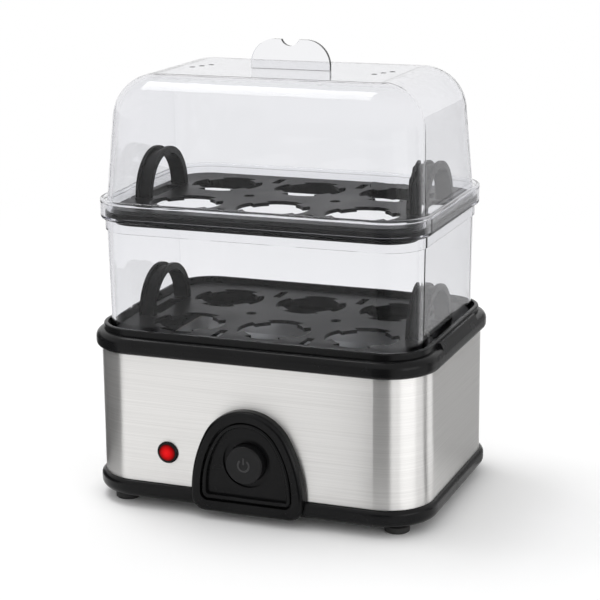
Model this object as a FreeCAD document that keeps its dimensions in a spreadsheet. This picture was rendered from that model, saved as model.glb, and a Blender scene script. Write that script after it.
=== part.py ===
"""Two-tier electric egg cooker, as a parametric document of separate pieces.

Millimetres, +Z up, origin on the worktop under the middle of the cooker, control panel towards -Y.
The cooker stacks: a steel-banded base with a heated water dish, an egg tray, a clear middle tier,
a second egg tray and a clear lid with a finger fin.
"""
import FreeCAD
import Part
import Sketcher
import math
import os

SIZES = [
    ("body_width", "188", "steel band, left to right"),
    ("body_depth", "134", "steel band, front to back"),
    ("corner_radius", "25", "steel band, plan corner"),
    ("sheet", "0.8", "steel band, thickness"),
    ("band_height", "70.5", "steel band, height left showing"),
    ("lap", "3", "steel hidden in the skirt and in the rim"),
    ("slip", "0.2", "assembly clearance on each side"),
    ("nest_gap", "0.6", "clearance round pieces that stack by hand"),
    ("foot_height", "5.5", "rubber foot, height"),
    ("foot_radius", "6.8", "rubber foot, tread"),
    ("foot_neck", "5.6", "rubber foot, upper radius"),
    ("foot_step", "3.4", "rubber foot, height of the tread"),
    ("foot_edge", "0.6", "rubber foot, bevel of the tread"),
    ("foot_inset_x", "16", "feet, in from the steel's sides"),
    ("foot_inset_y", "13", "feet, in from the steel's front and back"),
    ("screw_radius", "1.5", "self-tapping screws, shank"),
    ("screw_head", "3", "self-tapping screws, head radius"),
    ("head_height", "1.8", "self-tapping screws, head height"),
    ("head_depth", "2.6", "screw head seat above the worktop"),
    ("base_screw_length", "18", "screws that close the base"),
    ("tower_radius", "3.8", "screw towers under the rim"),
    ("skirt_height", "9.5", "bottom shell, height of the skirt"),
    ("skirt_proud", "2.5", "bottom shell, skirt beyond the steel"),
    ("shell_floor", "2.5", "bottom shell, floor thickness"),
    ("shell_wall", "2.2", "bottom shell, wall thickness"),
    ("shell_collar", "4.5", "bottom shell, locating wall above the skirt"),
    ("rim_proud", "3", "top rim, roll beyond the steel"),
    ("roll_height", "9.5", "top rim, height of the roll"),
    ("rim_height", "13", "top rim, lip above the steel"),
    ("lip_outset", "1.4", "top rim, outer face of the lip inside the steel line"),
    ("nest_inset", "3.6", "recess that a tray drops into, inside the steel line"),
    ("ledge_rise", "6", "tray ledge above the steel"),
    ("well_inset", "9", "top rim, inner wall under the ledge"),
    ("rim_wall", "2.5", "top rim, wall thickness"),
    ("deck_drop", "7", "top rim, deck below the tray ledge"),
    ("deck", "2", "top rim, deck thickness"),
    ("grip_length", "64", "flat grip on each side of the rim"),
    ("grip_lift", "6.2", "flat grip, lower edge above the steel"),
    ("grip_lean", "2.8", "flat grip, upper edge inside the lower one"),
    ("grip_drop", "1.3", "flat grip, upper edge below the lip"),
    ("dish_margin", "24", "water dish, in from the steel all round"),
    ("dish_corner", "18", "water dish, plan corner"),
    ("dish_sink", "9", "water dish, depth below its flange"),
    ("dish_draft", "4", "water dish, taper of each wall"),
    ("plate_sheet", "1.2", "heating plate, thickness"),
    ("plate_flange", "7.5", "heating plate, flange width"),
    ("seal_width", "1.6", "silicone seal, width"),
    ("seal_height", "1", "silicone seal, height"),
    ("plate_screw_y", "22", "plate screws, half spacing front to back"),
    ("plate_screw_length", "5.2", "plate screws, shank"),
    ("boss_radius", "3.6", "plate screw bosses on the deck"),
    ("boss_height", "2.2", "plate screw bosses above the deck"),
    ("tube_radius", "3.5", "heating tube, radius"),
    ("tube_half_x", "52", "heating tube, half length of the loop"),
    ("tube_half_y", "26", "heating tube, half width of the loop"),
    ("tube_bend", "14", "heating tube, bend radius"),
    ("tube_gap", "14", "heating tube, half gap between its ends"),
    ("pin_radius", "1.5", "heating tube, terminal pin"),
    ("pin_length", "8", "heating tube, terminal pin length"),
    ("stat_radius", "8", "thermostat, disc"),
    ("stat_height", "5", "thermostat, disc height"),
    ("stat_base", "5.5", "thermostat, contact block radius"),
    ("stat_base_height", "4", "thermostat, contact block height"),
    ("strap", "0.8", "thin spring-steel straps"),
    ("strap_width", "10", "straps, width"),
    ("strap_foot", "7", "straps, length of each foot"),
    ("fuse_radius", "2", "thermal fuse"),
    ("fuse_length", "16", "thermal fuse, length"),
    ("fuse_x", "32", "thermal fuse, right of the middle"),
    ("clip_foot", "4", "fuse clip, length of each foot"),
    ("panel_half", "31.8", "control panel, half width"),
    ("panel_foot", "4.5", "control panel, lower edge above the worktop"),
    ("panel_corner", "8", "control panel, lower corners"),
    ("panel_side", "2", "control panel, straight side"),
    ("panel_crown", "47.5", "control panel, arch above its sides"),
    ("panel_top_radius", "26.5", "control panel, radius at the top of the arch"),
    ("panel_proud", "6", "control panel, thickness in front of the steel"),
    ("panel_round", "2.4", "control panel, rounded outer edge"),
    ("panel_frame", "5.6", "control panel, frame width at sides and top"),
    ("panel_sill", "6.4", "control panel, frame width along the bottom"),
    ("panel_sink", "3", "control panel, sunk field below the frame"),
    ("inner_corner", "4.5", "control panel, lower corners of the field"),
    ("bead_gap", "0.9", "control panel, groove between frame and bead"),
    ("bead_width", "2.4", "control panel, bead round the field"),
    ("bead_height", "2.6", "control panel, bead above the field"),
    ("button_height", "33.2", "button axis above the worktop"),
    ("button_radius", "10.4", "power button, cap radius"),
    ("button_slip", "0.35", "power button, clearance in its sleeve"),
    ("button_proud", "4.6", "power button, cap in front of the sunk field"),
    ("button_cap", "8", "power button, cap length"),
    ("button_edge", "0.9", "power button, rounded edge"),
    ("button_travel", "3", "power button, press"),
    ("stem_radius", "4", "power button, stem"),
    ("halo_radius", "13.6", "round recess about the button"),
    ("halo_sink", "1.2", "round recess, depth"),
    ("sleeve_wall", "1.8", "panel sleeve that guides the button"),
    ("sleeve_reach", "9", "panel sleeve, behind the steel's face"),
    ("plunger_radius", "2.5", "switch plunger"),
    ("plunger_out", "3.5", "switch plunger, length out of the switch"),
    ("plunger_in", "8", "switch plunger, length inside the switch"),
    ("switch_half", "12", "switch body, half width"),
    ("switch_tall", "13", "switch body, half height"),
    ("switch_deep", "18", "switch body, depth"),
    ("switch_lug", "3", "switch body, contact lugs"),
    ("panel_screw_x", "27.8", "panel screws, half spacing"),
    ("panel_screw_height", "26", "panel screws above the worktop"),
    ("panel_screw_length", "4.2", "panel screws, shank"),
    ("lamp_x", "47", "indicator, left of the middle"),
    ("lamp_height", "33", "indicator above the worktop"),
    ("bezel_radius", "6", "indicator bezel, flange"),
    ("bezel_flange", "1.3", "indicator bezel, flange thickness"),
    ("bezel_neck", "5.2", "indicator bezel, sleeve"),
    ("bezel_reach", "11", "indicator bezel, sleeve behind the steel's face"),
    ("lens_radius", "4.6", "indicator lens"),
    ("lens_dome", "0.9", "indicator lens, dome in front of the bezel"),
    ("lens_length", "4", "indicator lens, length inside the bezel"),
    ("bulb_radius", "2.6", "indicator lamp"),
    ("bulb_length", "14", "indicator lamp, length"),
    ("block_x", "34", "terminal block, right of the middle"),
    ("block_y", "36", "terminal block, behind the middle"),
    ("block_width", "36", "terminal block, length"),
    ("block_depth", "18", "terminal block, width"),
    ("block_height", "13", "terminal block, height"),
    ("way_radius", "2.2", "terminal block, screw wells"),
    ("way_pitch", "11", "terminal block, pitch of the wells"),
    ("way_sink", "5", "terminal block, depth of the wells"),
    ("gland_height", "34", "cord gland above the worktop"),
    ("gland_bore", "3.6", "cord gland, bore"),
    ("gland_neck", "5.8", "cord gland, neck in the steel"),
    ("gland_flange", "8.2", "cord gland, flange"),
    ("gland_flange_height", "2.2", "cord gland, flange thickness"),
    ("gland_tip", "5.2", "cord gland, nose radius"),
    ("flange", "2", "egg tray, flange thickness"),
    ("floor_rise", "2", "egg tray, floor above the flange"),
    ("tray_floor", "2", "egg tray, floor thickness"),
    ("tray_skirt", "4.5", "egg tray, skirt below the flange"),
    ("tray_wall", "2", "egg tray, skirt thickness"),
    ("seat_margin", "23", "egg seats, from a tray handle to the middle of the outer seats"),
    ("seat_y", "28", "egg seats, half pitch front to back"),
    ("seat_radius", "20", "egg seats, opening"),
    ("seat_core", "16", "egg seats, circle left by the tabs"),
    ("tab_width", "9", "egg seats, width of a tab"),
    ("slot_width", "4.5", "steam slots, width"),
    ("slot_length", "13", "steam slots, length"),
    ("slot_y", "44", "steam slots, front and back of the middle"),
    ("steam_radius", "3", "steam holes along the middle"),
    ("arch_inset", "21", "tray handles, inner edge in from the steel line"),
    ("arch_width", "9", "tray handles, width"),
    ("arch_inner", "21.2", "tray handles, inner radius"),
    ("arch_web", "1.8", "tray handles, web thickness"),
    ("arch_rib", "3.6", "tray handles, thickness at the edge ribs"),
    ("rib_width", "1.8", "tray handles, width of a rib"),
    ("grip_hole", "16", "tray handles, half length of the floor opening"),
    ("tier_pitch", "66.5", "from one tray ledge to the next"),
    ("tier_inset", "5.8", "middle tier, foot inside the steel line"),
    ("tier_head", "5", "middle tier, top of the wall inside the steel line"),
    ("clear_wall", "2", "clear pieces, wall"),
    ("collar_inset", "1.7", "middle tier, collar inside the steel line"),
    ("collar_rise", "7", "middle tier, collar above its ledge"),
    ("collar_round", "1.6", "middle tier, lower edge of the collar"),
    ("shelf", "2", "middle tier, shelf thickness"),
    ("neck_inset", "4.2", "middle tier, neck band inside the steel line"),
    ("neck_height", "6", "middle tier, neck band"),
    ("lid_inset", "5", "lid, foot inside the steel line"),
    ("lid_height", "72", "lid, from its foot to its roof"),
    ("lid_draft", "3.6", "lid, taper of each wall over its height"),
    ("lid_corner", "27", "lid, plan corner at the roof"),
    ("lid_round", "24", "lid, radius between wall and roof"),
    ("vent_radius", "1.6", "steam vents in the lid"),
    ("vent_x", "52", "steam vents, from the middle"),
    ("vent_pitch", "6", "steam vents, pitch"),
    ("fin_half", "22.5", "lid fin, half width at its foot"),
    ("fin_height", "16", "lid fin, height"),
    ("fin_round", "13.5", "lid fin, upper corners"),
    ("fin_thick", "2.4", "lid fin, thickness"),
    ("notch_half", "5", "lid fin, half width of the thumb notch"),
    ("notch_depth", "3.5", "lid fin, depth of the thumb notch"),
]

ROOT = -1
H_AXIS = -1
V_AXIS = -2
START = 1
END = 2
CENTRE = 3
SIDES = (-1, 1)
CORNERS = [(x, y) for x in SIDES for y in SIDES]


class Size:
    """A length: its number for drawing, and the sheet expression that drives it."""

    def __init__(self, number, text):
        self.number = number
        self.text = text

    def __add__(self, other):
        other = as_size(other)
        return Size(self.number + other.number, f"({self.text} + {other.text})")

    def __sub__(self, other):
        other = as_size(other)
        return Size(self.number - other.number, f"({self.text} - {other.text})")

    def __mul__(self, other):
        other = as_size(other)
        return Size(self.number * other.number, f"({self.text} * {other.text})")

    def __truediv__(self, other):
        other = as_size(other)
        return Size(self.number / other.number, f"({self.text} / {other.text})")

    def __neg__(self):
        return self * -1


def as_size(value):
    """Plain numbers join in as constants."""
    if isinstance(value, Size):
        return value
    return Size(value, f"({value:.9f})")


class Sheet:
    """The spreadsheet of driving dimensions, read back as sizes by name."""

    def __init__(self, document, rows):
        cells = document.addObject("Spreadsheet::Sheet", "Sizes")
        for line, (name, number, meaning) in enumerate(rows, start=1):
            cells.set(f"A{line}", name)
            cells.set(f"B{line}", number)
            cells.setAlias(f"B{line}", name)
            cells.set(f"C{line}", meaning)
            setattr(self, name, Size(float(number), f"Sizes.{name}"))


doc = FreeCAD.newDocument("EggCooker")
s = Sheet(doc, SIZES)
ZERO = as_size(0)
doc.recompute()

# Heights of the stack, from the worktop up
half_width = s.body_width / 2
half_depth = s.body_depth / 2
shell_floor_top = s.foot_height + s.shell_floor
skirt_top = s.foot_height + s.skirt_height
band_top = skirt_top + s.band_height
rim_top = band_top + s.rim_height
lower_ledge = band_top + s.ledge_rise
upper_ledge = lower_ledge + s.tier_pitch
deck_top = lower_ledge - s.deck_drop
deck_foot = deck_top - s.deck
plate_top = deck_foot - s.seal_height
flange_foot = plate_top - s.plate_sheet
dish_floor = plate_top - s.dish_sink
dish_under = dish_floor - s.plate_sheet
lid_foot = upper_ledge + s.flange
lid_top = lid_foot + s.lid_height

# Places that more than one piece shares
foot_x = half_width - s.foot_inset_x
foot_y = half_depth - s.foot_inset_y
dish_half_x = half_width - s.dish_margin
dish_half_y = half_depth - s.dish_margin
plate_screw_x = dish_half_x + s.plate_flange / 2
pilot_radius = s.screw_radius + s.slip / 2
through_radius = s.screw_radius + s.slip * 2
sleeve_bore = s.button_radius + s.button_slip
sleeve_radius = sleeve_bore + s.sleeve_wall
field_front = half_depth + s.panel_proud - s.panel_sink
button_front = field_front + s.button_proud
button_back = button_front - s.button_cap
switch_front = half_depth - s.sleeve_reach
stem_back = switch_front + s.plunger_out
tray_inset = s.nest_inset + s.nest_gap
plateau_inset = s.tier_inset + s.clear_wall + s.nest_gap
tray_skirt_inset = s.well_inset + s.nest_gap
arch_x = half_width - s.arch_inset
seat_pitch_x = arch_x - s.seat_margin


def bind(feature, name, size):
    """Tie one property of a feature to the sheet."""
    feature.setExpression(name, size.text)


def new_body(label):
    body = doc.addObject("PartDesign::Body", label)
    body.Label = label
    body.AllowCompound = True
    return body


def plane_of(body, role):
    return next(item for item in body.Origin.OriginFeatures if item.Role == role)


def sketch_on(body, name, role, x=ZERO, y=ZERO, out=ZERO):
    """A sketch on one of the body's own planes, shifted in the plane and out along its normal."""
    sketch = body.newObject("Sketcher::SketchObject", f"{body.Name}_{name}")
    sketch.AttachmentSupport = (plane_of(body, role), [""])
    sketch.MapMode = "FlatFace"
    shift = FreeCAD.Vector(x.number, y.number, out.number)
    sketch.AttachmentOffset = FreeCAD.Placement(shift, FreeCAD.Rotation())
    for axis, size in (("x", x), ("y", y), ("z", out)):
        bind(sketch, f"AttachmentOffset.Base.{axis}", size)
    return sketch


def level_sketch(body, name, height):
    """A horizontal sketch at a height above the worktop."""
    return sketch_on(body, name, "XY_Plane", out=height)


def front_sketch(body, name, forward):
    """An upright sketch facing the user, a distance in front of the middle."""
    return sketch_on(body, name, "XZ_Plane", out=forward)


def dimension(sketch, target, size):
    index = sketch.addConstraint(Sketcher.Constraint(*target, size.number))
    sketch.setExpression(f"Constraints[{index}]", size.text)


def place(sketch, geometry, point, x, y):
    """Fix one point of a sketch by its distances from the sketch's axes."""
    for kind, axis, size in (("DistanceX", V_AXIS, x), ("DistanceY", H_AXIS, y)):
        if size.number == 0:
            sketch.addConstraint(Sketcher.Constraint("PointOnObject", geometry, point, axis))
        else:
            dimension(sketch, (kind, ROOT, START, geometry, point), size)


def vector(x, y):
    return FreeCAD.Vector(x.number, y.number, 0)


def arc_between(start, end, centre, radius):
    """The counter-clockwise arc from one point to another."""
    first = math.atan2(start.y - centre.y, start.x - centre.x)
    last = math.atan2(end.y - centre.y, end.x - centre.x)
    if last <= first:
        last += 2 * math.pi
    ring = Part.Circle(centre, FreeCAD.Vector(0, 0, 1), radius)
    return Part.ArcOfCircle(ring, first, last)


def contour(sketch, path):
    """A closed outline. Each entry is (x, y), or (x, y, turn) where an arc leaves that point.

    A turn is (centre x, centre y, radius, way), with way 1 for counter-clockwise and -1 for clockwise.
    """
    first = sketch.GeometryCount
    count = len(path)
    leaving = []
    arriving = []
    for index, entry in enumerate(path):
        begin = vector(*entry[:2])
        finish = vector(*path[(index + 1) % count][:2])
        if len(entry) == 2:
            sketch.addGeometry(Part.LineSegment(begin, finish))
            ends = (START, END)
        else:
            centre_x, centre_y, radius, way = entry[2]
            centre = vector(centre_x, centre_y)
            if way > 0:
                sketch.addGeometry(arc_between(begin, finish, centre, radius.number))
                ends = (START, END)
            else:
                sketch.addGeometry(arc_between(finish, begin, centre, radius.number))
                ends = (END, START)
            dimension(sketch, ("Radius", first + index), radius)
        leaving.append(ends[0])
        arriving.append(ends[1])
    for index, entry in enumerate(path):
        before = (index - 1) % count
        joint = (first + before, arriving[before], first + index, leaving[index])
        sketch.addConstraint(Sketcher.Constraint("Coincident", *joint))
        place(sketch, first + index, leaving[index], entry[0], entry[1])


def rectangle(sketch, left, right, low, high):
    contour(sketch, [(left, low), (right, low), (right, high), (left, high)])


def turned_bar(sketch, x, y, length, width, way):
    """A bar lying at 45 degrees about a point, rising to the right when way is 1."""
    along = length * math.sqrt(0.125)
    across = width * math.sqrt(0.125)
    contour(sketch, [
        (x - along - across, y - along * way + across * way),
        (x - along + across, y - along * way - across * way),
        (x + along + across, y + along * way - across * way),
        (x + along - across, y + along * way + across * way),
    ])


def circle(sketch, x, y, radius):
    normal = FreeCAD.Vector(0, 0, 1)
    index = sketch.addGeometry(Part.Circle(vector(x, y), normal, radius.number))
    place(sketch, index, CENTRE, x, y)
    dimension(sketch, ("Radius", index), radius)


def rounded_rectangle(sketch, half_x, half_y, corner):
    """A rectangle about the sketch's middle with four tangent corners."""
    first = sketch.GeometryCount
    x = half_x.number
    y = half_y.number
    r = corner.number
    flats = [
        ((r - x, -y), (x - r, -y)),
        ((x, r - y), (x, y - r)),
        ((x - r, y), (r - x, y)),
        ((-x, y - r), (-x, r - y)),
    ]
    centres = [(x - r, r - y), (x - r, y - r), (r - x, y - r), (r - x, r - y)]
    for begin, finish in flats:
        line = Part.LineSegment(FreeCAD.Vector(*begin, 0), FreeCAD.Vector(*finish, 0))
        sketch.addGeometry(line)
    for quarter, centre in enumerate(centres):
        ring = Part.Circle(FreeCAD.Vector(*centre, 0), FreeCAD.Vector(0, 0, 1), r)
        turn = (quarter - 1) * math.pi / 2
        sketch.addGeometry(Part.ArcOfCircle(ring, turn, turn + math.pi / 2))
    for quarter in range(4):
        line = first + quarter
        arc = first + 4 + quarter
        following = first + (quarter + 1) % 4
        sketch.addConstraint(Sketcher.Constraint("Tangent", line, END, arc, START))
        sketch.addConstraint(Sketcher.Constraint("Tangent", arc, END, following, START))
        lie = "Horizontal" if quarter % 2 == 0 else "Vertical"
        sketch.addConstraint(Sketcher.Constraint(lie, line))
        if quarter:
            sketch.addConstraint(Sketcher.Constraint("Equal", first + 4, arc))
    sketch.addConstraint(Sketcher.Constraint("Symmetric", first, START, first + 2, START, ROOT, START))
    dimension(sketch, ("DistanceX", ROOT, START, first + 1, START), half_x)
    dimension(sketch, ("DistanceY", ROOT, START, first + 2, START), half_y)
    dimension(sketch, ("Radius", first + 4), corner)


def plan(sketch, inset):
    """The body's plan outline, drawn in by an inset from the steel's outer face."""
    rounded_rectangle(sketch, half_width - inset, half_depth - inset, s.corner_radius - inset)


def dish_plan(sketch, outset):
    """The water dish's plan outline, let out by an outset."""
    rounded_rectangle(sketch, dish_half_x + outset, dish_half_y + outset, s.dish_corner + outset)


def add_feature(body, kind, sketch):
    feature = body.newObject(f"PartDesign::{kind}", f"{sketch.Name}_{kind}")
    feature.Profile = sketch
    return feature


def pad(sketch, length, back=False):
    """Grow a sketch along its normal, or against it."""
    feature = add_feature(sketch.getParentGeoFeatureGroup(), "Pad", sketch)
    feature.Reversed = back
    bind(feature, "Length", length)
    return feature


def pocket(sketch, depth, outward=False):
    """Cut a sketch against its normal, or along it."""
    feature = add_feature(sketch.getParentGeoFeatureGroup(), "Pocket", sketch)
    feature.Reversed = outward
    bind(feature, "Length", depth)
    return feature


def revolve(sketch):
    """Turn a half section about the sketch's upright axis."""
    feature = add_feature(sketch.getParentGeoFeatureGroup(), "Revolution", sketch)
    feature.ReferenceAxis = (sketch, ["V_Axis"])
    feature.Angle = 360
    return feature


def loft(kind, sketches, ruled):
    feature = add_feature(sketches[0].getParentGeoFeatureGroup(), kind, sketches[0])
    feature.Sections = sketches[1:]
    feature.Ruled = ruled
    return feature


def mirror(body, feature, role):
    """Repeat a feature on the other side of one of the body's planes."""
    copy = body.newObject("PartDesign::Mirrored", f"{feature.Name}_{role}")
    copy.Originals = [feature]
    copy.MirrorPlane = (plane_of(body, role), [""])
    body.Tip = copy
    return copy


def mirror_group(body, feature):
    """Repeat a feature in all four corners."""
    group = body.newObject("PartDesign::MultiTransform", f"{feature.Name}_Corners")
    group.Originals = [feature]
    steps = []
    for role in ("YZ_Plane", "XZ_Plane"):
        step = body.newObject("PartDesign::Mirrored", f"{group.Name}_{role}")
        step.MirrorPlane = (plane_of(body, role), [""])
        steps.append(step)
    group.Transformations = steps
    body.Tip = group
    return group


def level_edges(feature, height):
    """Names of a feature's edges that lie flat at one height."""
    names = []
    for number, edge in enumerate(feature.Shape.Edges, start=1):
        box = edge.BoundBox
        if abs(box.ZMin - height.number) < 1e-5 and abs(box.ZMax - height.number) < 1e-5:
            names.append(f"Edge{number}")
    return names


def front_edges(feature, forward):
    """Names of a feature's edges that lie in one upright plane in front of the middle."""
    names = []
    for number, edge in enumerate(feature.Shape.Edges, start=1):
        box = edge.BoundBox
        if abs(box.YMin + forward.number) < 1e-5 and abs(box.YMax + forward.number) < 1e-5:
            names.append(f"Edge{number}")
    return names


def fillet(feature, names, radius):
    body = feature.getParentGeoFeatureGroup()
    round_over = body.newObject("PartDesign::Fillet", f"{feature.Name}_Fillet")
    round_over.Base = (feature, names)
    bind(round_over, "Radius", radius)
    doc.recompute()
    return round_over


def make_feet():
    """Four moulded rubber feet with a stepped bore for the screw that holds them."""
    body = new_body("feet")
    section = sketch_on(body, "section", "XZ_Plane", x=foot_x, out=foot_y)
    seat = s.screw_head + s.slip * 2
    contour(section, [
        (seat, ZERO),
        (s.foot_radius - s.foot_edge, ZERO),
        (s.foot_radius, s.foot_edge),
        (s.foot_radius, s.foot_step),
        (s.foot_neck, s.foot_step + s.foot_edge),
        (s.foot_neck, s.foot_height),
        (through_radius, s.foot_height),
        (through_radius, s.head_depth),
        (seat, s.head_depth),
    ])
    mirror_group(body, revolve(section))
    return body


def screw_section(sketch, head_up, length):
    """Half section of a pan-head screw: its head seat is at the sketch's origin."""
    way = 1 if head_up else -1
    contour(sketch, [
        (ZERO, s.head_height * way),
        (s.screw_head, s.head_height * way),
        (s.screw_head, ZERO),
        (s.screw_radius, ZERO),
        (s.screw_radius, length * -way),
        (ZERO, length * -way),
    ])


def make_base_screws():
    """Screws up through the feet and the bottom shell into the rim's towers."""
    body = new_body("base_screws")
    section = sketch_on(body, "section", "XZ_Plane", x=foot_x, y=s.head_depth, out=foot_y)
    screw_section(section, False, s.base_screw_length)
    mirror_group(body, revolve(section))
    return body


def make_bottom_shell():
    """Black base moulding: bulged skirt, floor, and a wall that locates the steel band."""
    body = new_body("bottom_shell")
    skirt = level_sketch(body, "skirt", s.foot_height)
    plan(skirt, -s.skirt_proud)
    block = pad(skirt, s.skirt_height)
    doc.recompute()
    lower = fillet(block, level_edges(block, s.foot_height), s.skirt_height * 0.42)
    fillet(lower, level_edges(lower, skirt_top), s.skirt_height * 0.3)
    collar = level_sketch(body, "collar", shell_floor_top)
    plan(collar, s.sheet + s.slip)
    pad(collar, skirt_top + s.shell_collar - shell_floor_top)
    hollow = level_sketch(body, "hollow", skirt_top + s.shell_collar)
    plan(hollow, s.sheet + s.slip + s.shell_wall)
    pocket(hollow, skirt_top + s.shell_collar - shell_floor_top)
    groove = level_sketch(body, "groove", skirt_top)
    plan(groove, -s.slip)
    plan(groove, s.sheet + s.slip)
    pocket(groove, s.lap)
    notch = front_sketch(body, "notch", half_depth + s.skirt_proud + 1)
    side = s.panel_half + s.slip
    rectangle(notch, -side, side, s.foot_height - 1, skirt_top + 1)
    pocket(notch, s.skirt_proud + 1)
    holes = level_sketch(body, "holes", shell_floor_top)
    for x, y in CORNERS:
        circle(holes, foot_x * x, foot_y * y, through_radius)
    pocket(holes, s.shell_floor)
    return body


def make_body_band():
    """Brushed steel wrap with openings for the button sleeve, panel screws, lamp and cord gland."""
    body = new_body("body_band")
    ring = level_sketch(body, "ring", skirt_top - s.lap)
    plan(ring, ZERO)
    plan(ring, s.sheet)
    pad(ring, s.band_height + s.lap * 2)
    front = front_sketch(body, "front", half_depth + s.sheet)
    circle(front, ZERO, s.button_height, sleeve_radius + s.slip)
    circle(front, -s.lamp_x, s.lamp_height, s.bezel_neck + s.slip)
    for x in SIDES:
        circle(front, s.panel_screw_x * x, s.panel_screw_height, through_radius)
    pocket(front, s.sheet * 3)
    back = front_sketch(body, "back", -half_depth - s.sheet)
    circle(back, ZERO, s.gland_height, s.gland_neck + s.slip)
    pocket(back, s.sheet * 3, outward=True)
    return body


def make_top_rim():
    """Black top moulding: rolled edge with flat side grips, tray recess, deck and screw towers."""
    body = new_body("top_rim")
    roll = level_sketch(body, "roll", band_top)
    plan(roll, -s.rim_proud)
    block = pad(roll, s.roll_height)
    doc.recompute()
    upper = fillet(block, level_edges(block, band_top + s.roll_height), s.roll_height * 0.45)
    fillet(upper, level_edges(upper, band_top), s.roll_height * 0.3)
    for x in SIDES:
        grip = front_sketch(body, f"grip{x + 1}", s.grip_length / 2)
        root = half_width - (s.lip_outset + s.nest_inset) / 2
        foot = half_width + s.rim_proud
        contour(grip, [
            (root * x, band_top + s.grip_lift),
            (foot * x, band_top + s.grip_lift),
            ((foot - s.grip_lean) * x, rim_top - s.grip_drop),
            (root * x, rim_top - s.grip_drop),
        ])
        pad(grip, s.grip_length, back=True)
    lip = level_sketch(body, "lip", band_top + s.roll_height / 2)
    plan(lip, s.lip_outset)
    crest = pad(lip, s.rim_height - s.roll_height / 2)
    doc.recompute()
    fillet(crest, level_edges(crest, rim_top), (s.nest_inset - s.lip_outset) * 0.4)
    well = level_sketch(body, "well", deck_foot)
    plan(well, s.well_inset - s.rim_wall)
    pad(well, lower_ledge - deck_foot)
    nest = level_sketch(body, "nest", rim_top)
    plan(nest, s.nest_inset)
    pocket(nest, rim_top - lower_ledge)
    basin = level_sketch(body, "basin", lower_ledge)
    plan(basin, s.well_inset)
    pocket(basin, s.deck_drop)
    mouth = level_sketch(body, "mouth", deck_top)
    dish_plan(mouth, ZERO)
    pocket(mouth, s.deck)
    groove = level_sketch(body, "groove", band_top)
    plan(groove, -s.slip)
    plan(groove, s.sheet + s.slip)
    pocket(groove, s.lap, outward=True)
    relief = level_sketch(body, "relief", band_top)
    plan(relief, s.sheet + s.slip + s.rim_wall / 2)
    plan(relief, s.well_inset - s.rim_wall)
    pocket(relief, s.ledge_rise - s.rim_wall, outward=True)
    bosses = level_sketch(body, "bosses", deck_top)
    for x, y in CORNERS:
        circle(bosses, plate_screw_x * x, s.plate_screw_y * y, s.boss_radius)
    pad(bosses, s.boss_height)
    pilots = level_sketch(body, "pilots", deck_foot)
    for x, y in CORNERS:
        circle(pilots, plate_screw_x * x, s.plate_screw_y * y, pilot_radius)
    pocket(pilots, s.plate_screw_length - s.plate_sheet - s.seal_height + s.slip, outward=True)
    towers = level_sketch(body, "towers", shell_floor_top)
    for x, y in CORNERS:
        circle(towers, foot_x * x, foot_y * y, s.tower_radius)
    pad(towers, deck_foot - shell_floor_top)
    sockets = level_sketch(body, "sockets", shell_floor_top)
    for x, y in CORNERS:
        circle(sockets, foot_x * x, foot_y * y, pilot_radius)
    pocket(sockets, s.base_screw_length, outward=True)
    return body


def make_heating_plate():
    """Pressed aluminium water dish with a flange that screws up under the deck."""
    body = new_body("heating_plate")
    brim = level_sketch(body, "brim", flange_foot)
    dish_plan(brim, s.plate_flange)
    pad(brim, s.plate_sheet)
    outer = [level_sketch(body, "outer_top", plate_top), level_sketch(body, "outer_floor", dish_under)]
    dish_plan(outer[0], s.plate_sheet)
    dish_plan(outer[1], s.plate_sheet - s.dish_draft)
    loft("AdditiveLoft", outer, True)
    inner = [level_sketch(body, "inner_top", plate_top), level_sketch(body, "inner_floor", dish_floor)]
    dish_plan(inner[0], ZERO)
    dish_plan(inner[1], -s.dish_draft)
    loft("SubtractiveLoft", inner, True)
    holes = level_sketch(body, "holes", plate_top)
    for x, y in CORNERS:
        circle(holes, plate_screw_x * x, s.plate_screw_y * y, through_radius)
    pocket(holes, s.plate_sheet)
    return body


def make_plate_seal():
    """Silicone ring between the heating plate and the deck."""
    body = new_body("plate_seal")
    ring = level_sketch(body, "ring", plate_top)
    dish_plan(ring, s.slip)
    dish_plan(ring, s.slip + s.seal_width)
    pad(ring, s.seal_height)
    return body


def make_plate_screws():
    """Screws up through the plate's flange into the deck's bosses."""
    body = new_body("plate_screws")
    place_y = s.plate_screw_y
    section = sketch_on(body, "section", "XZ_Plane", x=plate_screw_x, y=flange_foot, out=place_y)
    screw_section(section, False, s.plate_screw_length)
    mirror_group(body, revolve(section))
    return body


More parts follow.
